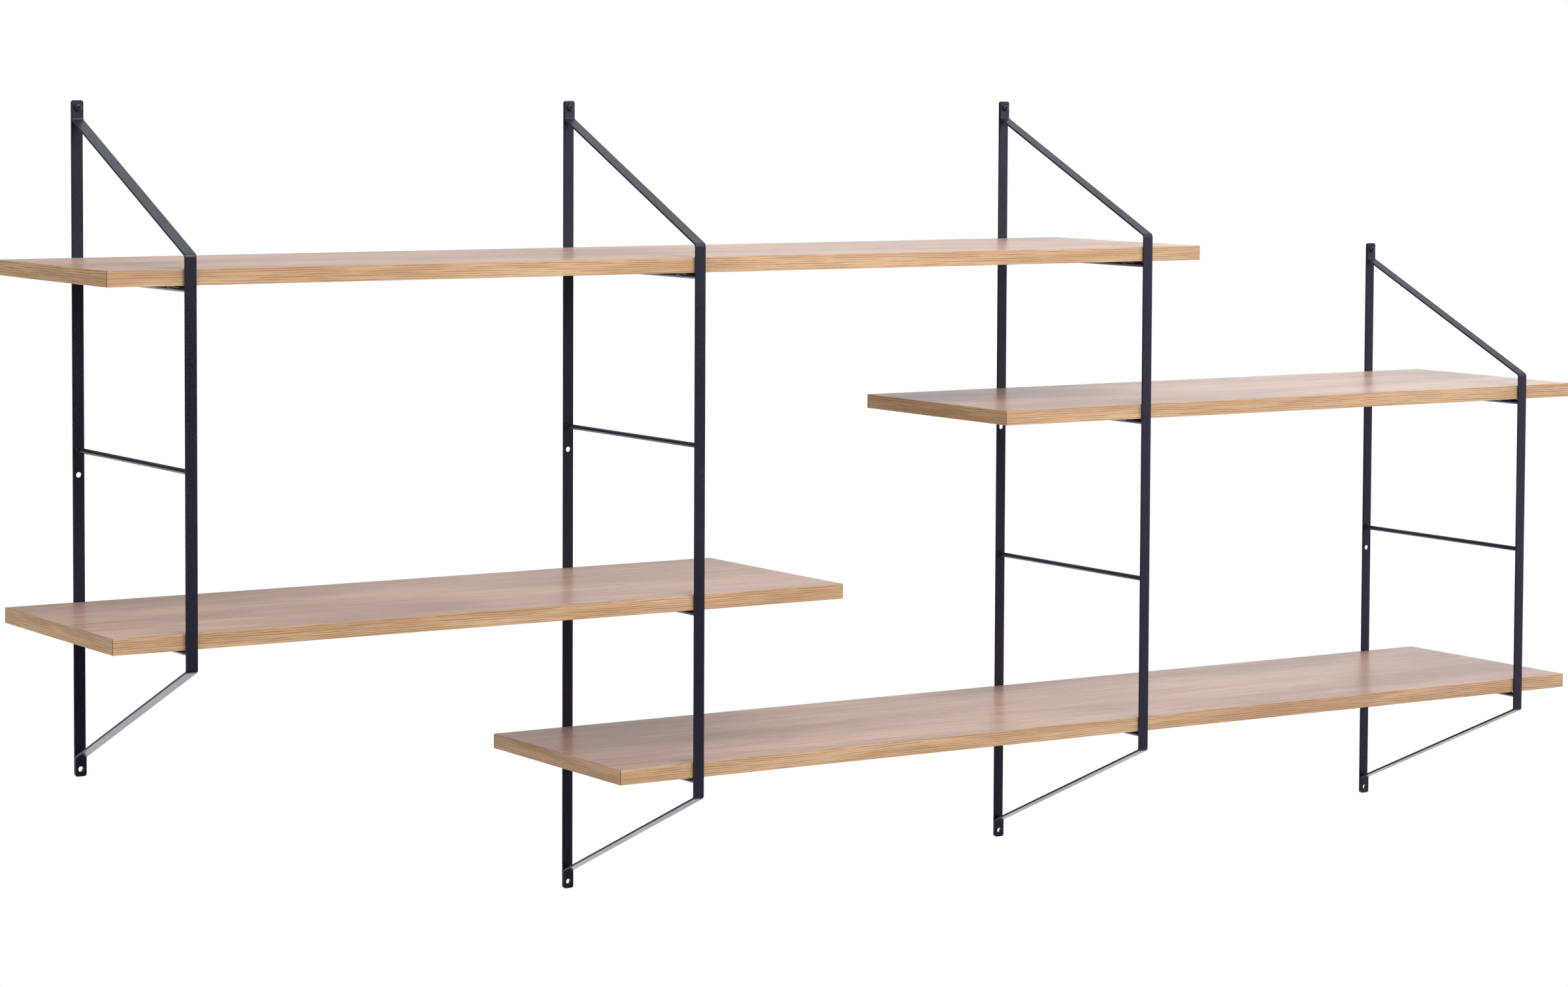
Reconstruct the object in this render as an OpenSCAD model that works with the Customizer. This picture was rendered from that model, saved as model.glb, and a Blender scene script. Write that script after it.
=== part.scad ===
// Wall shelf: four boards on four ladder brackets.
// X runs along the wall, Y into the wall and Z up, in millimetres.
// The origin is on the wall, on bracket 1's centre line, level with the top of shelf 1.

/* [Layout] */
// Height between two shelf levels, and between two rods of a bracket
level_pitch = 200; // [160:5:260]
// Bracket 1 to bracket 2, centre to centre
bay_1 = 652; // [600:1:700]
// Bracket 2 to bracket 3, centre to centre
bay_2 = 665; // [600:1:700]
// Bracket 3 to bracket 4, centre to centre
bay_3 = 643; // [600:1:700]

/* [Shelves] */
// Board thickness, edge bands included in the length and depth
shelf_t = 18; // [12:1:30]
// Length of shelves 1 and 4
long_shelf = 1500; // [1480:5:1600]
// Length of shelves 2 and 3
short_shelf = 950; // [900:5:1000]
// Left end of shelf 1
shelf_1_left = -97; // [-130:1:-40]
// Left end of shelf 2
shelf_2_left = 1100; // [1060:1:1140]
// Left end of shelf 3
shelf_3_left = -92; // [-130:1:-40]
// Left end of shelf 4
shelf_4_left = 546; // [500:1:580]
// Thickness of the edge bands
band_t = 1; // [0.5:0.5:3]
// Free space between a board and the strips behind and in front of it
shelf_play = 1; // [0.5:0.5:3]

/* [Bracket strips] */
// Width of the flat bar
strip_w = 14; // [12:1:25]
// Thickness of the flat bar
strip_t = 2.5; // [2:0.5:4]
// Radius of the flat bar's end corners
corner_r = 3; // [1:0.5:5]
// Bend radius, at the middle of the bar's thickness
bend_r = 4; // [3:0.5:6]
// Clear distance between a bracket's back strip and its front strip
reach = 312; // [250:1:350]
// Height of a bracket's top end above its top rod
top_rise = 205; // [180:1:230]
// Depth of a bracket's bottom end below its lowest rod
bottom_drop = 181; // [150:1:210]
// Length of the tabs that lie on the back strip
tab_len = 23; // [20:1:30]
// Height of the front strip's upper bend above the top rod
front_rise = 38; // [30:1:60]
// Depth of the front strip's lower bend below the lowest rod
front_drop = 19; // [15:1:40]

/* [Rods and shelf plates] */
// Rod diameter
rod_d = 6; // [5:1:8]
// Leg of the weld around each end of a rod
weld_leg = 2; // [0.5:0.5:3]
// Thickness of the plate that each board lies on
plate_t = 2; // [1.5:0.5:3]
// Width of the shelf plate
plate_w = 24; // [22:1:30]
// Space between a shelf plate's ends and the strips
plate_gap = 10; // [5:1:30]

/* [Wall fixings] */
// Diameter of the wall holes
hole_d = 6.5; // [5.5:0.5:7.5]
// Distance from a hole's centre to the end of the strip
hole_inset = 8.5; // [7:0.5:12]
// Depth of the middle hole below the bracket's second rod
mid_hole_drop = 29; // [15:1:80]
// Outer diameter of the wall screw's thread
wall_screw_d = 5; // [4:0.5:5]
// Length of the wall screw below its head, the last part of it in an anchor in the wall
wall_screw_len = 10; // [8:1:60]
// Diameter of the wall screw's head
wall_head_d = 9; // [8.5:0.5:11]

/* [Shelf screws] */
// Outer diameter of the shelf screw's thread
shelf_screw_d = 3.5; // [3:0.5:4]
// Length of the shelf screw below its head
shelf_screw_len = 13; // [8:1:13]
// Diameter of the shelf screw's head
shelf_head_d = 6.6; // [6:0.2:7]
// Distance from a plate's end to its screw hole
plate_screw_inset = 24; // [10:1:60]

/* [Hidden] */
$fn = 64;
// Brackets, left to right: centre line, first and last level with a rod
BRACKET_X = [0, bay_1, bay_1 + bay_2, bay_1 + bay_2 + bay_3];
FIRST_LEVEL = [1, 1, 1, 2];
LAST_LEVEL = [3, 4, 4, 4];
// Shelves, top to bottom: left end, length and the brackets under them
SHELF_LEFT = [shelf_1_left, shelf_2_left, shelf_3_left, shelf_4_left];
SHELF_LEN = [long_shelf, short_shelf, short_shelf, long_shelf];
SHELF_BRACKETS = [[1, 2, 3], [3, 4], [1, 2], [2, 3, 4]];

shelf_depth = reach - 2 * shelf_play;
shelf_back = -strip_t - shelf_play;
plate_len = reach - 2 * plate_gap;
rod_drop = shelf_t + plate_t + rod_d / 2;
board_screw_side = rod_d / 2 + shelf_head_d / 2 + 2;
pilot_d = shelf_screw_d + 0.1;
plate_hole_d = shelf_screw_d + 0.6;
// Threads: pitch, depth and length of the plain tip
WALL_THREAD = [0.8, 0.45, 0.6];
SHELF_THREAD = [2, 0.7, 2.1];
stitch_len = 14;
bend_steps = 10;
overshoot = 1;

// Height of a shelf's top surface, and of the rods below it
function level_z(level) = -level_pitch * (level - 1);
function rod_z(level) = level_z(level) - rod_drop;
// A bracket's ends, and the heights of its three wall holes
function top_z(b) = rod_z(FIRST_LEVEL[b - 1]) + top_rise;
function bottom_z(b) = rod_z(LAST_LEVEL[b - 1]) - bottom_drop;
function hole_heights(b) = [
    top_z(b) - hole_inset,
    rod_z(FIRST_LEVEL[b - 1] + 1) - mid_hole_drop,
    bottom_z(b) + hole_inset
];
// Where shelf s is screwed to the plates: one screw on each side of the rod
function screw_points(s) = [
    for (b = SHELF_BRACKETS[s - 1], end = [0, 1]) [
        BRACKET_X[b - 1] + (end == 0 ? board_screw_side : -board_screw_side),
        -strip_t - plate_gap - (end == 0 ? plate_screw_inset : plate_len - plate_screw_inset)
    ]
];
function unit(v) = v / norm(v);

// ---- Boards ----

// A block of shelf s, given by its distances from the board's left end and back edge
module shelf_block(s, from_left, from_back, length, depth) {
    translate([
        SHELF_LEFT[s - 1] + from_left,
        shelf_back - from_back - depth,
        level_z(s) - shelf_t
    ])
        cube([length, depth, shelf_t]);
}

// The board inside its edge bands, with blind pilot holes from below
module shelf_board(s) {
    color("#b8977a")
        difference() {
            shelf_block(s, band_t, band_t, SHELF_LEN[s - 1] - 2 * band_t, shelf_depth - 2 * band_t);
            for (point = screw_points(s))
                translate([point.x, point.y, level_z(s) - shelf_t - overshoot])
                    cylinder(d = pilot_d, h = shelf_screw_len - plate_t + 1.5 * overshoot, $fn = 32);
        }
}

module front_band(s) {
    color("#c9a67c")
        shelf_block(s, 0, shelf_depth - band_t, SHELF_LEN[s - 1], band_t);
}

module back_band(s) {
    color("#c9a67c")
        shelf_block(s, 0, 0, SHELF_LEN[s - 1], band_t);
}

// The two short bands, between the front band and the back band
module end_bands(s) {
    color("#c9a67c")
        for (from_left = [0, SHELF_LEN[s - 1] - band_t])
            shelf_block(s, from_left, band_t, band_t, shelf_depth - 2 * band_t);
}

// ---- Bracket strips ----

// Outline of bracket b as seen from the front, with rounded corners
module strip_outline(b) {
    height = top_z(b) - bottom_z(b);
    translate([-strip_w / 2, bottom_z(b) + corner_r])
        square([strip_w, height - 2 * corner_r]);
    translate([corner_r - strip_w / 2, bottom_z(b)])
        square([strip_w - 2 * corner_r, height]);
    for (side = [-1, 1], z = [bottom_z(b) + corner_r, top_z(b) - corner_r])
        translate([side * (strip_w / 2 - corner_r), z])
            circle(corner_r);
}

// That outline as a block, from the wall out to the given distance
module strip_block(b, distance) {
    rotate([90, 0, 0])
        linear_extrude(distance)
            strip_outline(b);
}

// Holes for the wall screws, through everything up to the given distance
module wall_holes(heights, distance) {
    for (z = heights)
        translate([0, overshoot, z])
            rotate([90, 0, 0])
                cylinder(d = hole_d, h = distance + 2 * overshoot);
}

module back_strip(b) {
    color("#35343c")
        translate([BRACKET_X[b - 1], 0, 0])
            difference() {
                strip_block(b, strip_t);
                wall_holes(hole_heights(b), strip_t);
            }
}

// One bend's points at a distance to the left of the middle line, between two directions
function bend_points(corner, before, after, side) =
    let (
        turn = acos(before * after),
        way = sign(cross(before, after)),
        centre = corner + unit(after - before) * bend_r / cos(turn / 2),
        start = atan2(before.x, -before.y)
    )
    [
        for (i = [0:bend_steps])
            let (angle = start + way * turn * i / bend_steps)
            centre + (side - way * bend_r) * [cos(angle), sin(angle)]
    ];

// The bar's edge at a distance to the left of a middle line that is bent at its inner points
function bar_edge(points, side) =
    let (
        last = len(points) - 1,
        along = [for (i = [0:last - 1]) unit(points[i + 1] - points[i])],
        left = [for (way = [along[0], along[last - 1]]) [-way.y, way.x] * side]
    )
    [
        points[0] + left[0],
        for (i = [1:last - 1]) each bend_points(points[i], along[i - 1], along[i], side),
        points[last] + left[1]
    ];
function reversed(list) = [for (i = [len(list) - 1:-1:0]) list[i]];

// The bent bar from the side
module bent_bar(points) {
    polygon(concat(bar_edge(points, strip_t / 2), reversed(bar_edge(points, -strip_t / 2))));
}

// Middle line of bracket b's front strip: tab, brace, upright, brace, tab
function front_line(b) =
    let (
        tab_y = -1.5 * strip_t,
        front_y = -reach - 1.5 * strip_t
    )
    [
        [tab_y, top_z(b)],
        [tab_y, top_z(b) - tab_len],
        [front_y, rod_z(FIRST_LEVEL[b - 1]) + front_rise],
        [front_y, rod_z(LAST_LEVEL[b - 1]) - front_drop],
        [tab_y, bottom_z(b) + tab_len],
        [tab_y, bottom_z(b)]
    ];

module front_strip(b) {
    heights = hole_heights(b);
    color("#3a3942")
        translate([BRACKET_X[b - 1], 0, 0])
            difference() {
                intersection() {
                    translate([-strip_w / 2, 0, 0])
                        rotate([90, 0, 90])
                            linear_extrude(strip_w)
                                bent_bar(front_line(b));
                    strip_block(b, reach + 3 * strip_t);
                }
                wall_holes([heights[0], heights[2]], 2 * strip_t);
            }
}

// ---- Rods and shelf plates ----

// Round rod between the strips, with a weld around each end
module rod(b, level) {
    color("#38373f")
        translate([BRACKET_X[b - 1], -strip_t, rod_z(level)])
            rotate([90, 0, 0]) {
                cylinder(d = rod_d, h = reach);
                cylinder(d1 = rod_d + 2 * weld_leg, d2 = rod_d, h = weld_leg);
                translate([0, 0, reach - weld_leg])
                    cylinder(d1 = rod_d, d2 = rod_d + 2 * weld_leg, h = weld_leg);
            }
}

// Weld stitch in the corner between the rod and the plate's underside
module weld_stitch(side) {
    rotate([90, 0, 0])
        linear_extrude(stitch_len)
            difference() {
                translate([side > 0 ? 0.2 * rod_d / 2 : -0.8 * rod_d / 2, -0.2 * rod_d])
                    square([0.6 * rod_d / 2, 0.2 * rod_d]);
                translate([0, -rod_d / 2])
                    circle(d = rod_d);
            }
}

// Flat plate on a shelf rod, with one screw hole on each side of the rod
module shelf_plate(b, level) {
    color("#302f36")
        translate([BRACKET_X[b - 1], -strip_t - plate_gap, rod_z(level) + rod_d / 2]) {
            difference() {
                translate([-plate_w / 2, -plate_len, 0])
                    cube([plate_w, plate_len, plate_t]);
                for (end = [0, 1])
                    translate([
                        end == 0 ? board_screw_side : -board_screw_side,
                        end == 0 ? -plate_screw_inset : plate_screw_inset - plate_len,
                        -overshoot
                    ])
                        cylinder(d = plate_hole_d, h = plate_t + 2 * overshoot, $fn = 32);
            }
            for (share = [0.04, 0.5, 0.96], side = [-1, 1])
                translate([0, -share * (plate_len - stitch_len), 0])
                    weld_stitch(side);
        }
}

// ---- Screws ----

// Half section of a threaded shank that points down from z = 0. Its tip tapers at 1 in 2
function shank_section(d, length, thread) =
    let (
        pitch = thread[0],
        depth = thread[1],
        tip = thread[2],
        core = d / 2 - depth,
        end_r = core - tip / 2,
        turns = floor((length - tip) / pitch) - 1
    )
    concat(
        [[0, 0], [d / 2, 0]],
        [
            for (i = [0:turns - 1], point = [[0, 0], [0, 0.2], [-1, 0.5], [-1, 0.8]])
                [d / 2 + point.x * depth, -(i + point.y + 0.6) * pitch]
        ],
        [[core, -length + tip], [max(end_r, 0), -length]],
        end_r > 0 ? [[0, -length]] : []
    );

// Pan-head screw with a cross recess: head above z = 0, shank below
module pan_screw(d, length, head_d, thread) {
    head_h = 0.34 * head_d;
    rim_h = 0.45 * head_h;
    cap_h = head_h - rim_h;
    cap_r = (pow(head_d / 2, 2) + pow(cap_h, 2)) / (2 * cap_h);
    difference() {
        intersection() {
            cylinder(d = head_d, h = head_h);
            translate([0, 0, head_h - cap_r])
                sphere(cap_r, $fn = 96);
        }
        for (turn = [0, 90])
            rotate(turn)
                translate([-0.27 * head_d, -0.055 * head_d, 0.35 * head_h])
                    cube([0.54 * head_d, 0.11 * head_d, head_h]);
        translate([0, 0, 0.2 * head_h])
            cylinder(d1 = 0.06 * head_d, d2 = 0.26 * head_d, h = 0.8 * head_h + 0.01, $fn = 32);
    }
    rotate_extrude($fn = 48)
        polygon(shank_section(d, length, thread));
}

module wall_screw(b) {
    color("#1e1e22")
        translate([BRACKET_X[b - 1], -2 * strip_t, hole_heights(b)[0]])
            rotate([90, 45, 0])
                pan_screw(wall_screw_d, wall_screw_len, wall_head_d, WALL_THREAD);
}

module shelf_screws(s) {
    color("#1e1e22")
        for (point = screw_points(s))
            translate([point.x, point.y, level_z(s) - shelf_t - plate_t])
                rotate([180, 0, 0])
                    pan_screw(shelf_screw_d, shelf_screw_len, shelf_head_d, SHELF_THREAD);
}

// ---- Nodes ----

for (s = [1:4]) {
    shelf_board(s);
    front_band(s);
    back_band(s);
    end_bands(s);
    shelf_screws(s);
    for (b = SHELF_BRACKETS[s - 1])
        shelf_plate(b, s);
}
for (b = [1:4]) {
    back_strip(b);
    front_strip(b);
    wall_screw(b);
    for (level = [FIRST_LEVEL[b - 1]:LAST_LEVEL[b - 1]])
        rod(b, level);
}
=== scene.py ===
"""Finishes, rounded bars, welds, screws and studio of the wall shelf.

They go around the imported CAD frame, with X along the wall, Y into the wall and Z up, in
metres.
"""

import math

import bmesh
import bpy
from mathutils import Matrix, Vector, geometry, noise


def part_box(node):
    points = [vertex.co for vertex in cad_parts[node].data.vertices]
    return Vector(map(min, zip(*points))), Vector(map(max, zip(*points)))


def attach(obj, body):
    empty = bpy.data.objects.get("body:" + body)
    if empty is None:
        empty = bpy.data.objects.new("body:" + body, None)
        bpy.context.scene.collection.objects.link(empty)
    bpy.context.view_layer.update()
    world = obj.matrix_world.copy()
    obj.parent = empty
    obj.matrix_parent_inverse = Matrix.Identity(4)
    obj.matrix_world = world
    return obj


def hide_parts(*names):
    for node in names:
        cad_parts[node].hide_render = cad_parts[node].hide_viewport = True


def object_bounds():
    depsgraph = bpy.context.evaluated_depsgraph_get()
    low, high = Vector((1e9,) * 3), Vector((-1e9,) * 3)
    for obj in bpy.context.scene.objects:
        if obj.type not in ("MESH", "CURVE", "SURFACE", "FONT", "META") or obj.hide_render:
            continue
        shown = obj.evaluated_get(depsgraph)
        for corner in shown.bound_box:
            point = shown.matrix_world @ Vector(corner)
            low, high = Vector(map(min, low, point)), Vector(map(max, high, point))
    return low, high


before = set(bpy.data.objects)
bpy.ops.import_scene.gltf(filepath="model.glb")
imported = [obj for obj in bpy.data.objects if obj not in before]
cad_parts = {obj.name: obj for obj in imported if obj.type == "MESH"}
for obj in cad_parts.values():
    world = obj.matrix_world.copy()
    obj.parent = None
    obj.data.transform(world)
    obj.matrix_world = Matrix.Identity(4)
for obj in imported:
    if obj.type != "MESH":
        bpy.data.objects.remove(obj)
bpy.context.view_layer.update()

MM = 0.001
BODY = "root"

# Sizes that the boxes of the CAD nodes don't give
BAR_T = 2.5 * MM
CORNER_R = 3 * MM
BEND_R = 4 * MM
TAB_LEN = 23 * MM
FRONT_RISE = 38 * MM
FRONT_DROP = 19 * MM
HOLE_R = 3.25 * MM
HOLE_INSET = 8.5 * MM
MID_HOLE_DROP = 29 * MM
ROD_R = 3 * MM
PLATE_T = 2 * MM
PLATE_HOLE_R = 2.05 * MM
PLATE_SCREW_INSET = 24 * MM
PLATE_SCREW_SIDE = 8.3 * MM
PLATE_CORNER_R = 1.5 * MM

# Screws. A thread is its pitch, depth and length of the tip, in millimetres
WALL_SCREW_D = 5 * MM
WALL_SCREW_TURNS = (38, 12, 71, 55)
WALL_THREAD = (0.8, 0.45, 0.6)
SHELF_SCREW_HEAD_D = 6.6 * MM
SHELF_SCREW_D = 3.5 * MM
SHELF_SCREW_LEN = 13 * MM
SHELF_THREAD = (2.0, 0.7, 2.1)
# How far a head's underside dips below its seat
SEAT_DIP = 0.01 * MM

# Points round a mesh's corners, holes and rods, and round and over a screw's head
CORNER_STEPS = 8
HOLE_SIDES = 48
ROD_SIDES = 72
ROD_SPANS = 8
STITCH_SIDES = 16
STITCH_STEPS = 26
WALL_HEAD_GRID = (128, 34)
SHELF_HEAD_GRID = (72, 20)

# Rounded and eased edges
BAR_EDGE_R = 0.45 * MM
PLATE_EDGE_R = 0.3 * MM
BOARD_EASE = 0.12 * MM
BAND_EASE = 0.3 * MM

# Weld beads round a rod's ends: how far they stand off and drip, and how far from an end
# the mesh has its rows, in millimetres
BACK_BEAD = (1.75 * MM, 0.5 * MM)
FRONT_BEAD = (1.2 * MM, 0.2 * MM)
BEAD_STEPS = (0, 0.15, 0.4, 0.7, 1.0, 1.3, 1.6, 1.9, 2.2, 2.5, 2.8, 3.2, 4.0)

# Stitch welds between a rod and its plate: their size, how far they are from the rod's
# middle and below the plate, and where along it
STITCH_HALF = 7 * MM
STITCH_R = 1.25 * MM
STITCH_SIDE = 2.5 * MM
STITCH_DROP = 0.55 * MM
STITCH_SHARES = (0.04, 0.5, 0.96)

# Edge bands: dark lines per metre of height, and where the seam at an end begins and is
# full, as distances from the middle of a piece one long
BAND_LINES = 390.0
BAND_SEAM = (0.49945, 0.4997)

# Studio. The floor's paint fades to white between two distances from its middle
FLOOR_DROP = 1.0
FLOOR_HALF = 14.0
FLOOR_PAINTED = 1.4
FLOOR_WHITE = 3.2
CAMERA_PLACE = (-1.816, -4.343, 0.208)
CAMERA_YAW, CAMERA_PITCH, CAMERA_ROLL = (math.radians(a) for a in (32.70, 3.20, 0.27))
CAMERA_LENS = 92.1
CAMERA_SHIFT_Y = -0.12
# Name, place, target, size, power and colour of each light
LIGHTS = (
    ("sky", (0.9, -2.8, 3.1), (0.9, -0.2, -0.3), (3.6, 2.2), 160, (1.0, 0.99, 0.97)),
    ("key", (4.4, -2.9, 0.9), (1.0, -0.2, -0.3), (1.8, 1.8), 10, (1.0, 0.95, 0.98)),
    ("panel", (1.45, -1.5, 0.40), (1.45, 0.0, 0.40), (2.4, 0.55), 8.0, (0.90, 0.97, 1.0)),
    ("fill", (-3.6, -1.6, 0.9), (0.4, -0.2, -0.3), (2.0, 2.0), 46, (1.0, 0.98, 0.96)),
)

# Levels that each bracket reaches, and brackets that carry each shelf
BRACKET_LEVELS = {1: (1, 2, 3), 2: (1, 2, 3, 4), 3: (1, 2, 3, 4), 4: (2, 3, 4)}
SHELF_BRACKETS = {1: (1, 2, 3), 2: (3, 4), 3: (1, 2), 4: (2, 3, 4)}


# ---- Materials ----


class Nodes:
    """The node tree of a new material or world, with short ways to add nodes."""

    def __init__(self, owner, coordinate="Object"):
        self.owner = owner
        self.owner.use_nodes = True
        self.tree = self.owner.node_tree
        self.tree.nodes.clear()
        self.place = self.add("ShaderNodeTexCoord").outputs[coordinate]

    def add(self, kind, inputs=None, **settings):
        """Adds a node, with its settings, and sets or links its inputs."""
        node = self.tree.nodes.new(kind)
        for key, value in settings.items():
            setattr(node, key, value)
        for key, value in (inputs or {}).items():
            if isinstance(value, bpy.types.NodeSocket):
                self.tree.links.new(value, node.inputs[key])
            else:
                node.inputs[key].default_value = value
        return node

    def math(self, operation, first, second=0.0, third=0.0):
        inputs = {0: first, 1: second, 2: third}
        return self.add("ShaderNodeMath", inputs, operation=operation).outputs[0]

    def noise(self, scale, detail=3.0, rough=0.5, distortion=0.0, place=None):
        """Noise with its own number of features per metre along X, Y and Z."""
        mapping = self.add(
            "ShaderNodeMapping", {"Vector": place or self.place, "Scale": scale}
        )
        inputs = {
            "Vector": mapping.outputs[0],
            "Scale": 1.0,
            "Detail": detail,
            "Roughness": rough,
            "Distortion": distortion,
        }
        return self.add("ShaderNodeTexNoise", inputs).outputs[0]

    def range(self, value, low, high, to_low=0.0, to_high=1.0, smooth=True):
        """The value, carried from the range low..high to the range to_low..to_high."""
        inputs = {
            "Value": value,
            "From Min": low,
            "From Max": high,
            "To Min": to_low,
            "To Max": to_high,
        }
        kind = "SMOOTHSTEP" if smooth else "LINEAR"
        return self.add("ShaderNodeMapRange", inputs, interpolation_type=kind).outputs[0]

    def mix(self, share, first, second):
        """The first colour, with a share of the second."""
        inputs = {"Factor": share, "A": first, "B": second}
        node = self.add("ShaderNodeMix", data_type="RGBA", blend_type="MIX")
        for key, value in inputs.items():
            socket = next(
                s for s in node.inputs
                if s.name == key and s.enabled and (key == "Factor" or s.type == "RGBA")
            )
            if isinstance(value, bpy.types.NodeSocket):
                self.tree.links.new(value, socket)
            else:
                socket.default_value = value
        return next(s for s in node.outputs if s.type == "RGBA" and s.enabled)

    def bump(self, height, distance, strength):
        inputs = {"Height": height, "Distance": distance, "Strength": strength}
        return self.add("ShaderNodeBump", inputs).outputs[0]

    def edges(self, radius):
        """1 on a rounded edge, 0 on a flat face."""
        rounded = self.add("ShaderNodeBevel", {"Radius": radius}, samples=4).outputs[0]
        true = self.add("ShaderNodeNewGeometry").outputs["Normal"]
        same = self.add(
            "ShaderNodeVectorMath", {0: rounded, 1: true}, operation="DOT_PRODUCT"
        ).outputs["Value"]
        return self.range(same, 0.985, 0.90)

    def surface(self, **inputs):
        shader = self.add("ShaderNodeBsdfPrincipled", inputs)
        self.add("ShaderNodeOutputMaterial", {"Surface": shader.outputs[0]})
        return self.owner


def powder_coat():
    """Black powder coat with a fine orange-peel texture and painted highlights along its edges.
    """
    n = Nodes(bpy.data.materials.new("black_powder_coat"))
    drift = n.noise((7, 7, 5), 2)
    speckle = n.noise((1100, 1100, 1100), 3, 0.65)
    peel = n.noise((520, 520, 520), 3, 0.6)
    dark, light = (0.0026, 0.0030, 0.0055, 1), (0.0046, 0.0052, 0.0092, 1)
    colour = n.mix(n.range(drift, 0.35, 0.65), dark, light)
    colour = n.mix(n.range(speckle, 0.48, 0.80), colour, (0.020, 0.021, 0.031, 1))
    # Painted highlight: the colour is lightened along the rounded edges of the bars to give a
    # thin light line.
    colour = n.mix(n.math("MULTIPLY", n.edges(0.5 * MM), 0.45), colour, (0.08, 0.08, 0.115, 1))
    rough = n.range(peel, 0.3, 0.7, 0.31, 0.43)
    rough = n.math("ADD", rough, n.range(drift, 0.3, 0.7, -0.03, 0.03))
    height = n.math("MULTIPLY_ADD", speckle, 0.35, peel)
    return n.surface(**{
        "Base Color": colour,
        "Roughness": rough,
        "Specular IOR Level": 0.5,
        "Specular Tint": (0.80, 0.78, 1.0, 1),
        "Normal": n.bump(height, 0.07 * MM, 0.75),
    })


def black_screw():
    """Black oxide on steel, worn a little at the edges of the recess and the thread."""
    n = Nodes(bpy.data.materials.new("black_screw"))
    grain = n.noise((1500, 1500, 1500), 4, 0.6)
    smear = n.noise((260, 260, 260), 2)
    colour = n.mix(n.range(smear, 0.35, 0.7), (0.012, 0.012, 0.014, 1), (0.030, 0.029, 0.034, 1))
    colour = n.mix(n.math("MULTIPLY", n.edges(0.25 * MM), 0.6), colour, (0.16, 0.15, 0.15, 1))
    return n.surface(**{
        "Base Color": colour,
        "Metallic": 0.5,
        "Roughness": n.range(grain, 0.3, 0.7, 0.27, 0.45),
        "Normal": n.bump(grain, 0.02 * MM, 0.5),
    })


def along(axis, long, wide, deep):
    """Scale with the long features along X or Y."""
    return (long, wide, deep) if axis == "X" else (wide, long, deep)


def board_face():
    """Oak-look laminate with fine pores, soft figure and an embossed satin finish."""
    n = Nodes(bpy.data.materials.new("board_laminate"))
    waver = n.noise((1.3, 5, 14), 2)
    shift = n.add("ShaderNodeCombineXYZ", {"Y": n.range(waver, 0, 1, -0.03, 0.03, False)})
    bent = n.add("ShaderNodeVectorMath", {0: n.place, 1: shift.outputs[0]}, operation="ADD")
    bent = bent.outputs[0]
    figure = n.noise((0.9, 15, 4), 1.5, 0.4, 0.3, bent)
    rings = n.math("PINGPONG", n.math("MULTIPLY", figure, 11.0), 0.5)
    rings = n.range(rings, 0.02, 0.22, 1, 0)
    fibre = n.noise((9, 620, 50), 5, 0.62, 0, bent)
    pores = n.range(n.noise((38, 1900, 170), 2, 0.5, 0, bent), 0.58, 0.70)
    patch = n.noise((1.7, 9, 7), 3, 0.5, 0.4)
    streak = n.noise((8, 210, 30), 3, 0.6, 0, bent)
    tone = n.math("MULTIPLY_ADD", patch, 0.40, n.math("MULTIPLY", fibre, 0.28))
    tone = n.math("MULTIPLY_ADD", streak, 0.32, tone)
    colour = n.mix(n.range(tone, 0.36, 0.64), (0.283, 0.162, 0.114, 1), (0.555, 0.358, 0.268, 1))
    colour = n.mix(n.math("MULTIPLY", rings, 0.16), colour, (0.135, 0.078, 0.056, 1))
    colour = n.mix(n.math("MULTIPLY", pores, 0.45), colour, (0.10, 0.058, 0.042, 1))
    height = n.math("MULTIPLY_ADD", pores, -0.8, fibre)
    rough = n.math("MULTIPLY_ADD", pores, 0.10, n.range(fibre, 0.3, 0.7, 0.29, 0.39))
    return n.surface(**{
        "Base Color": colour,
        "Roughness": rough,
        "Specular IOR Level": 0.5,
        "Normal": n.bump(height, 0.06 * MM, 0.35),
    })


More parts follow.
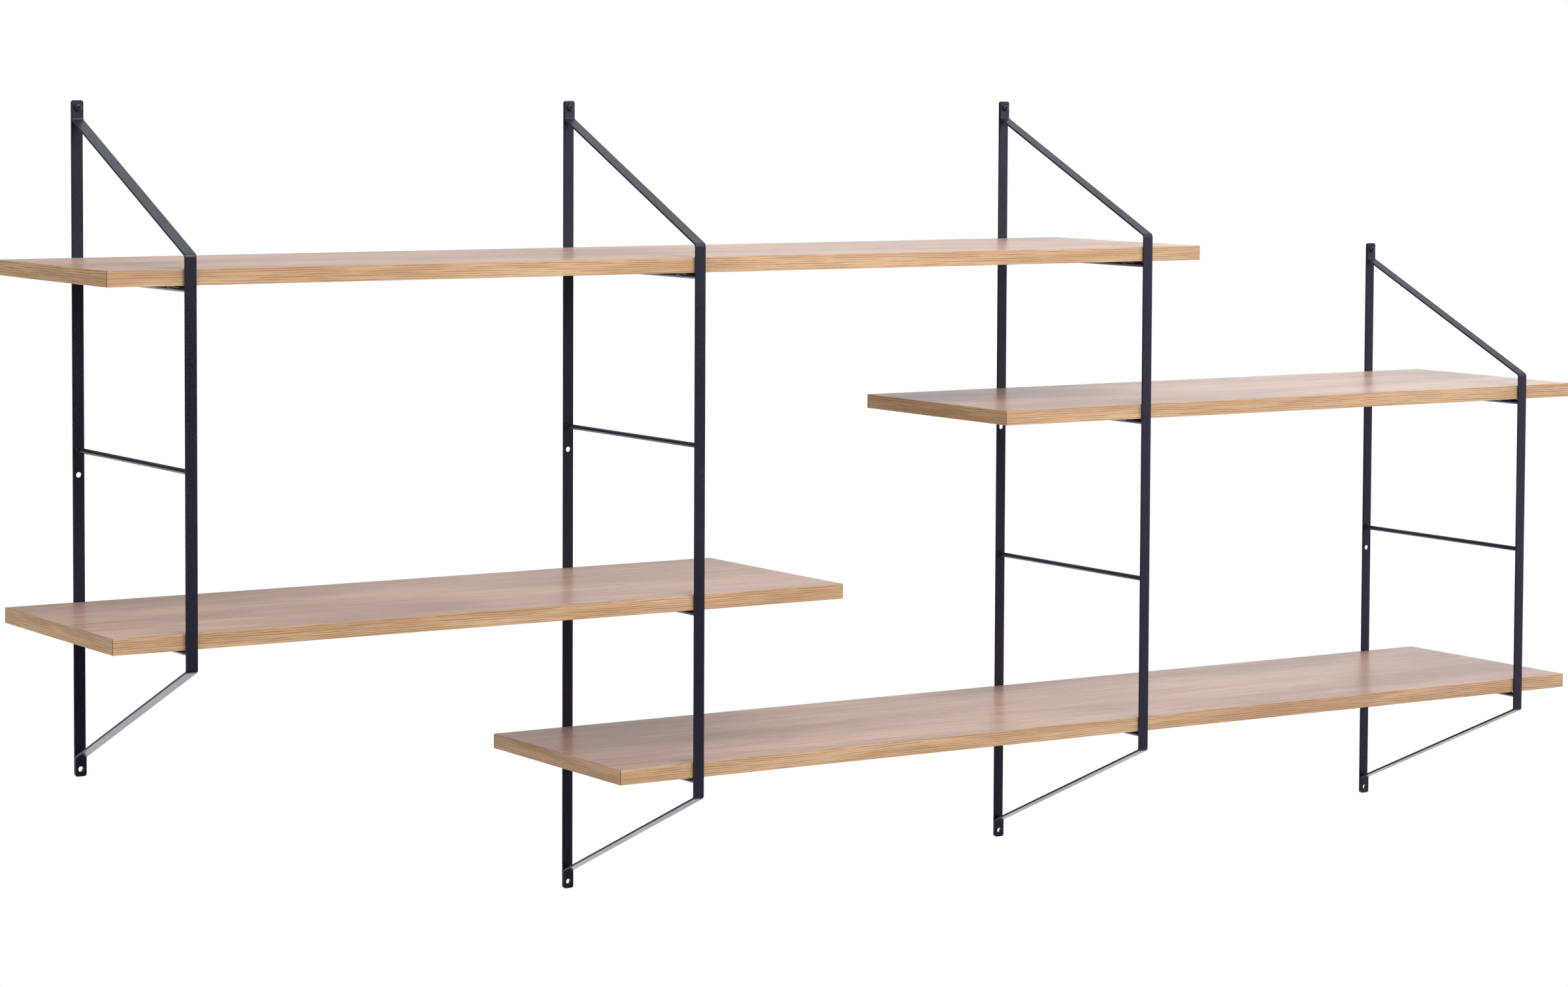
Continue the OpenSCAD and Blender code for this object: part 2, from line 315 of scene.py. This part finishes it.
def edge_band(axis):
    """Tan oak-look edge band: broken dark lines along it, and a dark seam at its ends."""
    n = Nodes(bpy.data.materials.new("edge_band_along_" + axis.lower()))
    up = n.add("ShaderNodeSeparateXYZ", {0: n.place}).outputs["Z"]
    waver = n.noise(along(axis, 5, 5, 26), 2, 0.4)
    close = n.noise(along(axis, 26, 26, 190), 2)
    phase = n.math("MULTIPLY_ADD", waver, 3.0, n.math("MULTIPLY", up, BAND_LINES))
    phase = n.math("MULTIPLY_ADD", close, 0.6, phase)
    lines = n.range(n.math("PINGPONG", phase, 0.5), 0.04, 0.24, 1, 0)
    strength = n.range(n.noise(along(axis, 18, 18, 390), 3, 0.6), 0.38, 0.57, 0.12, 1)
    lines = n.math("MULTIPLY", lines, strength)
    dashes = n.range(n.noise(along(axis, 40, 40, 1100), 2, 0.5), 0.56, 0.70)
    fibre = n.noise(along(axis, 24, 24, 1500), 4, 0.6)
    patch = n.noise(along(axis, 5, 5, 70), 2)
    tone = n.math("MULTIPLY_ADD", patch, 0.5, n.math("MULTIPLY", fibre, 0.5))
    colour = n.mix(n.range(tone, 0.38, 0.62), (0.385, 0.224, 0.106, 1), (0.510, 0.325, 0.174, 1))
    colour = n.mix(n.math("MULTIPLY", dashes, 0.30), colour, (0.30, 0.150, 0.070, 1))
    colour = n.mix(n.math("MULTIPLY", lines, 0.76), colour, (0.170, 0.080, 0.039, 1))
    share = n.add("ShaderNodeTexCoord").outputs["Generated"]
    share = n.add("ShaderNodeSeparateXYZ", {0: share}).outputs[axis]
    corner = n.math("ABSOLUTE", n.math("SUBTRACT", share, 0.5))
    colour = n.mix(n.range(corner, *BAND_SEAM), colour, (0.17, 0.088, 0.052, 1))
    height = n.math("MULTIPLY_ADD", lines, -0.7, n.math("MULTIPLY", fibre, 0.6))
    return n.surface(**{
        "Base Color": colour,
        "Roughness": n.range(fibre, 0.3, 0.7, 0.38, 0.50),
        "Specular IOR Level": 0.45,
        "Normal": n.bump(height, 0.06 * MM, 0.4),
    })


def floor_paint(centre):
    """Pale matt floor, which fades to the white of the studio away from the object."""
    n = Nodes(bpy.data.materials.new("pale_floor"))
    cloud = n.noise((0.8, 0.8, 0.8), 3)
    colour = n.mix(cloud, (0.86, 0.86, 0.86, 1), (0.90, 0.90, 0.89, 1))
    away = n.add("ShaderNodeVectorMath", {0: n.place, 1: centre}, operation="DISTANCE")
    paint = n.add("ShaderNodeBsdfPrincipled", {"Base Color": colour, "Roughness": 0.75})
    white = n.add("ShaderNodeEmission", {"Color": (1, 1, 1, 1), "Strength": 1.0})
    both = n.add("ShaderNodeMixShader", {
        0: n.range(away.outputs["Value"], FLOOR_PAINTED, FLOOR_WHITE),
        1: paint.outputs[0],
        2: white.outputs[0],
    })
    n.add("ShaderNodeOutputMaterial", {"Surface": both.outputs[0]})
    return n.owner


COAT = powder_coat()
SCREW = black_screw()
FACE = board_face()
BAND_X = edge_band("X")
BAND_Y = edge_band("Y")


# ---- Pieces ----


def add_piece(name, verts, faces, material, node):
    """Makes a closed mesh that stands for a CAD node and rides on the one body."""
    bm = bmesh.new()
    made = [bm.verts.new(v) for v in verts]
    for face in faces:
        bm.faces.new([made[i] for i in face])
    bmesh.ops.recalc_face_normals(bm, faces=bm.faces)
    mesh = bpy.data.meshes.new(name)
    bm.to_mesh(mesh)
    bm.free()
    mesh.polygons.foreach_set("use_smooth", [True] * len(mesh.polygons))
    mesh.set_sharp_from_angle(angle=math.radians(38))
    mesh.materials.append(material)
    piece = bpy.data.objects.new(name, mesh)
    bpy.context.scene.collection.objects.link(piece)
    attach(piece, BODY)
    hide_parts(node)
    return piece


def keep_flats_flat(piece):
    """Weights the normals by area, so that only the rounded edges are shaded round."""
    normals = piece.modifiers.new("normals", "WEIGHTED_NORMAL")
    normals.keep_sharp = True


def skin(rows, first_index=0):
    """Points and faces of a closed surface over equal rows, with a point at each end."""
    verts, faces = [], []
    start = []
    for row in rows:
        start.append(first_index + len(verts))
        verts.extend(row)
    for lower, upper, row, following in zip(start, start[1:], rows, rows[1:]):
        if len(row) == 1:
            count = len(following)
            faces += [(lower, upper + (i + 1) % count, upper + i) for i in range(count)]
        elif len(following) == 1:
            count = len(row)
            faces += [(lower + i, lower + (i + 1) % count, upper) for i in range(count)]
        else:
            count = len(row)
            for i in range(count):
                j = (i + 1) % count
                faces.append((lower + i, lower + j, upper + j, upper + i))
    return verts, faces


def edge_rows(thickness, radius, steps=3):
    """(inset, height) from a bar's lower face, round its edge, to its upper face."""
    low = []
    for i in range(steps + 1):
        angle = math.pi / 2 * i / steps
        low.append((radius * (1 - math.sin(angle)), radius * (1 - math.cos(angle))))
    return low + [(inset, thickness - height) for inset, height in reversed(low)]


def bar_outline(width, length, corner, cuts):
    """Points and outward directions round a flat bar, with a point on each side at a cut."""
    loop = []
    for turn, (u, v) in enumerate((
        (width / 2 - corner, corner),
        (width / 2 - corner, length - corner),
        (corner - width / 2, length - corner),
        (corner - width / 2, corner),
    )):
        for i in range(CORNER_STEPS + 1):
            angle = math.pi / 2 * (turn - 1 + i / CORNER_STEPS)
            out = Vector((math.cos(angle), math.sin(angle)))
            loop.append((Vector((u, v)) + corner * out, out))
        if turn == 0:
            loop += [(Vector((width / 2, cut)), Vector((1, 0))) for cut in cuts]
        if turn == 2:
            loop += [(Vector((-width / 2, cut)), Vector((-1, 0))) for cut in reversed(cuts)]
    return loop


def hole_outline(u, v, radius):
    """Points of a hole, with the directions that point away from the metal."""
    loop = []
    for i in range(HOLE_SIDES):
        angle = -2 * math.pi * i / HOLE_SIDES
        out = Vector((math.cos(angle), math.sin(angle)))
        loop.append((Vector((u, v)) + radius * out, -out))
    return loop


def bar(width, length, thickness, corner, holes, place, cuts=(), edge=BAR_EDGE_R):
    """A flat bar with rounded edges and holes, which can bend at its cuts.

    place(u, v, t) gives the spot of a point that is u across the bar, v along it and t up
    from its lower face.
    """
    rows = edge_rows(thickness, edge)
    loops = [bar_outline(width, length, corner, cuts)]
    loops += [hole_outline(*hole) for hole in holes]
    verts, faces, flat, ties, spans = [], [], [], [], []
    lowest, highest = [], []
    for loop in loops:
        first, count = len(verts), len(loop)
        for inset, height in rows:
            for point, out in loop:
                at = point - out * inset
                verts.append(place(at.x, at.y, height))
        for k in range(len(rows) - 1):
            for i in range(count):
                j = (i + 1) % count
                low, high = first + k * count, first + (k + 1) * count
                faces.append((low + i, low + j, high + j, high + i))
        spans.append(range(len(flat), len(flat) + count))
        ties += [(len(flat) + i, len(flat) + (i + 1) % count) for i in range(count)]
        flat += [point - out * rows[0][0] for point, out in loop]
        lowest += range(first, first + count)
        highest += range(first + (len(rows) - 1) * count, first + len(rows) * count)
    # Ties across the bar at its cuts, so that no triangle crosses a bend
    outer = len(loops[0])
    for k in range(len(cuts)):
        ties.append((CORNER_STEPS + 1 + k, outer - CORNER_STEPS - 2 - k))
    # The triangles inside the outline, and the points that their vertices came from
    _, _, triangles, sources, _, _ = geometry.delaunay_2d_cdt(
        flat, ties, [range(outer)], 1, 1e-7
    )
    for triangle in triangles:
        ids = [sources[i][0] for i in triangle]
        in_hole = any(all(i in span for i in ids) for span in spans[1:])
        if not in_hole:
            faces.append([lowest[i] for i in reversed(ids)])
            faces.append([highest[i] for i in ids])
    return verts, faces


class BentLine:
    """A line in a plane, with an arc at each inner corner."""

    def __init__(self, corners, radius):
        self.parts = []
        self.length = 0.0
        start = corners[0]
        for before, corner, after in zip(corners, corners[1:], corners[2:]):
            way, next_way = (corner - before).normalized(), (after - corner).normalized()
            turn = -way.angle_signed(next_way)
            cut = radius * math.tan(abs(turn) / 2)
            self.extend(start, way, (corner - way * cut - start).length, 0.0)
            self.extend(corner - way * cut, way, radius * abs(turn), turn / (radius * abs(turn)))
            start = corner + next_way * cut
        way = (corners[-1] - corners[-2]).normalized()
        self.extend(start, way, (corners[-1] - start).length, 0.0)

    def extend(self, start, way, length, curve):
        self.parts.append((self.length, start, way, length, curve))
        self.length += length

    def at(self, s):
        """The point at a length along the line, and the direction to its left there."""
        for begin, start, way, length, curve in self.parts:
            if s <= begin + length + 1e-9:
                break
        gone = s - begin
        left = Vector((-way.y, way.x))
        if not curve:
            return start + way * gone, left
        turn = curve * gone
        point = start + (way * math.sin(turn) + left * (1 - math.cos(turn))) / curve
        return point, left * math.cos(turn) - way * math.sin(turn)

    def bends(self, steps=10):
        found = []
        for begin, _, _, length, curve in self.parts:
            if curve:
                found += [begin + length * i / steps for i in range(steps + 1)]
        return found


def middle_of(node):
    low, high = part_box(node)
    return (low + high) / 2


def back_bar(b):
    """The strip against the wall, from its top down."""
    node = f"back_strip_{b}"
    low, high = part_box(node)
    x = (low.x + high.x) / 2
    levels = BRACKET_LEVELS[b]
    mid_hole = middle_of(f"rod_{b}_level_{levels[1]}").z - MID_HOLE_DROP
    holes = [(0, v, HOLE_R) for v in (HOLE_INSET, high.z - mid_hole, high.z - low.z - HOLE_INSET)]
    verts, faces = bar(
        high.x - low.x, high.z - low.z, BAR_T, CORNER_R, holes,
        lambda u, v, t: Vector((x + u, high.y - t, high.z - v)),
    )
    keep_flats_flat(add_piece(
        f"flat_bar_back_{b}", verts, faces, COAT, node
    ))


def front_bar(b):
    """The strip with four bends, from its top tab down."""
    node = f"front_strip_{b}"
    low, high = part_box(node)
    x = (low.x + high.x) / 2
    levels = BRACKET_LEVELS[b]
    tab_y, front_y = high.y - BAR_T / 2, low.y + BAR_T / 2
    line = BentLine([
        Vector((tab_y, high.z)),
        Vector((tab_y, high.z - TAB_LEN)),
        Vector((front_y, middle_of(f"rod_{b}_level_{levels[0]}").z + FRONT_RISE)),
        Vector((front_y, middle_of(f"rod_{b}_level_{levels[-1]}").z - FRONT_DROP)),
        Vector((tab_y, low.z + TAB_LEN)),
        Vector((tab_y, low.z)),
    ], BEND_R)

    def place(u, v, t):
        point, left = line.at(v)
        at = point + left * (t - BAR_T / 2)
        return Vector((x + u, at.x, at.y))

    holes = [(0, v, HOLE_R) for v in (HOLE_INSET, line.length - HOLE_INSET)]
    verts, faces = bar(
        high.x - low.x, line.length, BAR_T, CORNER_R, holes, place, line.bends()
    )
    keep_flats_flat(add_piece(
        f"flat_bar_front_{b}", verts, faces, COAT, node
    ))


def lump(angle, seed, share):
    """1 plus a smooth irregular part round a circle."""
    spot = Vector((1.4 * math.cos(angle), 1.4 * math.sin(angle), seed))
    return 1 + share * noise.noise(spot)


def bead_height(distance, angle, seed, size, drip):
    """How far a lumpy weld stands off the rod at a distance from the strip."""
    reach = size * 1.15 * lump(angle, seed + 5.3, 0.5)
    if distance >= reach:
        return 0.0
    ripple = 1 + 0.07 * math.sin(13 * angle + 1400 * distance + seed)
    sag = drip * math.exp(-(((angle - math.radians(225)) / 0.55) ** 2))
    tall = (size * lump(angle, seed, 0.45) + sag) * ripple
    return tall * (1 - (distance / reach) ** 2) ** 0.6


def welded_rod(b, level):
    """A round rod with a weld bead at each end."""
    node = f"rod_{b}_level_{level}"
    low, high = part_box(node)
    centre = (low + high) / 2
    seed = 3.7 * b + 1.9 * level
    length = high.y - low.y
    ends = [d * MM for d in BEAD_STEPS]
    distances = ends + [length * k / ROD_SPANS for k in range(1, ROD_SPANS)]
    distances += [length - d for d in reversed(ends)]
    rows = [[Vector((centre.x, high.y, centre.z))]]
    for d in distances:
        row = []
        for i in range(ROD_SIDES):
            angle = 2 * math.pi * i / ROD_SIDES
            back = bead_height(d, angle, seed, *BACK_BEAD)
            front = bead_height(length - d, angle, seed + 40, *FRONT_BEAD)
            r = ROD_R + max(back, front)
            row.append(Vector((
                centre.x + r * math.cos(angle), high.y - d, centre.z + r * math.sin(angle)
            )))
        rows.append(row)
    rows.append([Vector((centre.x, low.y, centre.z))])
    verts, faces = skin(rows)
    add_piece(f"welded_rod_{b}_level_{level}", verts, faces, COAT, node)


def stitch(x, y, z, side, seed, first_index):
    """A rippled weld bead along Y in the corner between the rod and the plate."""
    rows = [[Vector((x, y - STITCH_HALF, z))]]
    for k in range(1, STITCH_STEPS):
        along_bead = -1 + 2 * k / STITCH_STEPS
        size = (1 - abs(along_bead) ** 4) ** 0.5
        size *= STITCH_R * (1 + 0.10 * math.sin(24 * along_bead + seed))
        size *= lump(3 * along_bead, seed, 0.3)
        row = []
        for i in range(STITCH_SIDES):
            angle = 2 * math.pi * i / STITCH_SIDES
            row.append(Vector((
                x + size * 1.1 * math.cos(angle) * side,
                y + STITCH_HALF * along_bead,
                z + size * 0.8 * math.sin(angle),
            )))
        rows.append(row)
    rows.append([Vector((x, y + STITCH_HALF, z))])
    return skin(rows, first_index)


def rest_plate(b, level):
    """The plate that a board rests on, with its stitch welds to the rod."""
    node = f"shelf_plate_{b}_level_{level}"
    low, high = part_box(node)
    x, under = (low.x + high.x) / 2, high.z - PLATE_T
    length = high.y - low.y
    holes = [
        (PLATE_SCREW_SIDE, PLATE_SCREW_INSET, PLATE_HOLE_R),
        (-PLATE_SCREW_SIDE, length - PLATE_SCREW_INSET, PLATE_HOLE_R),
    ]
    verts, faces = bar(
        high.x - low.x, length, PLATE_T, PLATE_CORNER_R, holes,
        lambda u, v, t: Vector((x + u, high.y - v, under + t)), edge=PLATE_EDGE_R,
    )
    for k, share in enumerate(STITCH_SHARES):
        y = high.y - STITCH_HALF - share * (length - 2 * STITCH_HALF)
        seed = b + 2.3 * level + k
        for side in (-1, 1):
            bead = stitch(
                x + side * STITCH_SIDE, y, under - STITCH_DROP, side, seed, len(verts)
            )
            verts += bead[0]
            faces += bead[1]
    keep_flats_flat(add_piece(
        f"rest_plate_{b}_level_{level}", verts, faces, COAT, node
    ))


def step_down(value, low, high):
    """1 below low, 0 above high, smooth between them."""
    t = min(1.0, max(0.0, (value - low) / (high - low)))
    return 1 - t * t * (3 - 2 * t)


def head_rows(head_d, count, steps):
    """Rows of a pan head from the middle of its top to the middle of its seat."""
    radius, height = head_d / 2, 0.34 * head_d
    wing, span = 0.058 * head_d, 0.28 * head_d
    rows = [[Vector((0, 0, 0.42 * height))]]
    for k in range(1, steps + 1):
        angle = math.pi / 2 * k / steps
        r = radius * math.sin(angle) ** 0.8
        z = height * math.cos(angle) ** 0.6 if k < steps else 0.0
        row = []
        for i in range(count):
            turn = 2 * math.pi * i / count
            x, y = r * math.cos(turn), r * math.sin(turn)
            narrow = min(abs(x), abs(y))
            cross = step_down(narrow, wing, wing * 1.35) * step_down(r, span * 0.94, span * 1.04)
            depth = 0.58 * height * (1 - 0.55 * (r / span) ** 2)
            row.append(Vector((x, y, z - cross * max(0.0, depth))))
        rows.append(row)
    rows.append([Vector((p.x * 0.96, p.y * 0.96, -SEAT_DIP)) for p in rows[-1]])
    rows.append([Vector((0, 0, -SEAT_DIP))])
    return rows


def shank_rows(diameter, length, thread, count=24):
    """Rows of a threaded shank, from inside the head to its end."""
    pitch, depth, tip = (size * MM for size in thread)
    core = diameter / 2 - depth
    rows = [[Vector((0, 0, 0.5 * MM))]]
    total = int(length / pitch * 10)
    for k in range(total):
        z = -length * k / total
        taper = min(0.0, (length + z - tip) / 2)
        row = []
        for i in range(count):
            turn = 2 * math.pi * i / count
            phase = (z / pitch + i / count) % 1.0
            crest = max(0.0, 1 - abs(phase - 0.5) / 0.3)
            fade = min(1.0, -z / (1.2 * pitch))
            r = core + taper + depth * crest * fade * max(0.0, 1 + 2 * taper / tip)
            row.append(Vector((r * math.cos(turn), r * math.sin(turn), z)))
        rows.append(row)
    rows.append([Vector((0, 0, -length))])
    return rows


def screw(head_d, diameter, length, thread, grid, matrix, first_index):
    """Points and faces of a pan head on a threaded shank, with the seat at the matrix."""
    head = skin(head_rows(head_d, *grid), first_index)
    shank = skin(shank_rows(diameter, length, thread), first_index + len(head[0]))
    verts = [matrix @ v for v in head[0] + shank[0]]
    return verts, head[1] + shank[1]


def wall_screw(b):
    """The screw in the top hole, with its seat on the two strips."""
    node = f"wall_screw_{b}"
    low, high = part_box(node)
    seat = Vector(((low.x + high.x) / 2, -2 * BAR_T, (low.z + high.z) / 2))
    turn = Matrix.Rotation(math.radians(WALL_SCREW_TURNS[b - 1]), 4, "Z")
    matrix = Matrix.Translation(seat) @ Matrix.Rotation(math.pi / 2, 4, "X") @ turn
    verts, faces = screw(
        high.x - low.x, WALL_SCREW_D, high.y - seat.y, WALL_THREAD, WALL_HEAD_GRID, matrix, 0
    )
    add_piece(f"pan_screw_{b}", verts, faces, SCREW, node)


def shelf_screws(s):
    """The screws up through the plates into a board, one on each side of each rod."""
    verts, faces = [], []
    for b in SHELF_BRACKETS[s]:
        low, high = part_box(f"shelf_plate_{b}_level_{s}")
        x = (low.x + high.x) / 2
        for side, y in ((1, high.y - PLATE_SCREW_INSET), (-1, low.y + PLATE_SCREW_INSET)):
            turn = Matrix.Rotation(math.radians(31 * b + 17 * s + 40 * side), 4, "Z")
            seat = Vector((x + side * PLATE_SCREW_SIDE, y, high.z - PLATE_T))
            matrix = Matrix.Translation(seat) @ Matrix.Rotation(math.pi, 4, "X") @ turn
            made = screw(
                SHELF_SCREW_HEAD_D, SHELF_SCREW_D, SHELF_SCREW_LEN, SHELF_THREAD,
                SHELF_HEAD_GRID, matrix, len(verts),
            )
            verts += made[0]
            faces += made[1]
    add_piece(f"board_screws_{s}", verts, faces, SCREW, f"shelf_screws_{s}")


def finish_node(node, material, width):
    """Gives a CAD block its finish, joins its faces at their corners and eases its edges."""
    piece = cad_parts[node]
    for place in piece.material_slots:
        place.material = material
    weld = piece.modifiers.new("weld", "WELD")
    weld.merge_threshold = 0.001 * MM
    ease = piece.modifiers.new("ease", "BEVEL")
    ease.width = width
    ease.segments = 3
    ease.limit_method = "ANGLE"
    ease.angle_limit = math.radians(50)


for b, levels in BRACKET_LEVELS.items():
    back_bar(b)
    front_bar(b)
    wall_screw(b)
    for level in levels:
        welded_rod(b, level)
for s, brackets in SHELF_BRACKETS.items():
    finish_node(f"shelf_board_{s}", FACE, BOARD_EASE)
    finish_node(f"front_band_{s}", BAND_X, BAND_EASE)
    finish_node(f"back_band_{s}", BAND_X, BAND_EASE)
    finish_node(f"end_bands_{s}", BAND_Y, BAND_EASE)
    shelf_screws(s)
    for b in brackets:
        rest_plate(b, s)


# ---- Studio ----


def add_floor():
    """A floor well below the object, as the photo shows none."""
    low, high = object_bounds()
    centre = (low + high) / 2
    centre.z = low.z - FLOOR_DROP
    bm = bmesh.new()
    bmesh.ops.create_grid(bm, x_segments=6, y_segments=6, size=FLOOR_HALF)
    bmesh.ops.translate(bm, verts=bm.verts, vec=centre)
    mesh = bpy.data.meshes.new("floor")
    bm.to_mesh(mesh)
    bm.free()
    mesh.materials.append(floor_paint(centre))
    floor = bpy.data.objects.new("floor", mesh)
    bpy.context.scene.collection.objects.link(floor)
    floor.visible_glossy = False


def add_area(name, place, target, size, power, colour):
    """A soft box that points at its target and that the camera doesn't see."""
    light = bpy.data.lights.new(name, "AREA")
    light.shape = "RECTANGLE"
    light.size, light.size_y = size
    light.energy = power
    light.color = colour
    lamp = bpy.data.objects.new(name, light)
    lamp.location = place
    lamp.rotation_euler = (Vector(target) - Vector(place)).to_track_quat("-Z", "Y").to_euler()
    lamp.visible_camera = False
    bpy.context.scene.collection.objects.link(lamp)


def add_world():
    """White for the camera. For light and gloss, a soft room and a brighter back of it.

    The room in front of the object is lit from above and from the right, and is dark
    below. The back of it, beyond the wall, is brightest low down and high up.
    """
    n = Nodes(bpy.data.worlds.new("studio"), "Generated")
    way = n.add("ShaderNodeSeparateXYZ", {0: n.place}).outputs
    behind = n.range(way["Y"], -0.25, 0.25)
    room = n.math(
        "ADD", n.range(way["Z"], 0.0, 0.30, 0.0, 0.60), n.range(way["X"], 0.42, 0.75, 0.0, 1.05)
    )
    low_back = n.add(
        "ShaderNodeVectorMath", {0: n.place, 1: (1.0, 0.0, -2.5)}, operation="DOT_PRODUCT"
    ).outputs["Value"]
    back = n.math(
        "ADD", n.range(low_back, 0.0, 0.36, 0.08, 2.1), n.range(way["Z"], 0.32, 0.60, 0.0, 1.2)
    )
    level = n.add("ShaderNodeMix", {0: behind, 2: room, 3: back}).outputs[0]
    side = n.range(way["X"], 0.2, 0.7)
    left, right = (0.74, 0.98, 1.10, 1), (1.02, 0.81, 1.13, 1)
    tint = n.add("ShaderNodeMixRGB", {0: side, 1: left, 2: right})
    tint = n.add("ShaderNodeMixRGB", {0: behind, 1: tint.outputs[0], 2: (0.94, 1.0, 1.02, 1)})
    soft = n.add("ShaderNodeBackground", {"Color": tint.outputs[0], "Strength": level})
    white = n.add("ShaderNodeBackground", {"Color": (1, 1, 1, 1), "Strength": 1.0})
    seen = n.add("ShaderNodeLightPath").outputs["Is Camera Ray"]
    both = n.add("ShaderNodeMixShader", {0: seen, 1: soft.outputs[0], 2: white.outputs[0]})
    n.add("ShaderNodeOutputWorld", {"Surface": both.outputs[0]})
    bpy.context.scene.world = n.owner


def add_camera():
    """The camera, at the photograph's viewing angle."""
    data = bpy.data.cameras.new("camera")
    data.sensor_width = 36
    data.lens = CAMERA_LENS
    data.shift_y = CAMERA_SHIFT_Y
    data.clip_end = 100
    camera = bpy.data.objects.new("camera", data)
    camera.matrix_world = (
        Matrix.Translation(CAMERA_PLACE)
        @ Matrix.Rotation(-CAMERA_YAW, 4, "Z")
        @ Matrix.Rotation(math.pi / 2 - CAMERA_PITCH, 4, "X")
        @ Matrix.Rotation(CAMERA_ROLL, 4, "Z")
    )
    bpy.context.scene.collection.objects.link(camera)
    bpy.context.scene.camera = camera


add_floor()
add_world()
for light in LIGHTS:
    add_area(*light)
add_camera()
bpy.context.scene.view_settings.view_transform = "Standard"
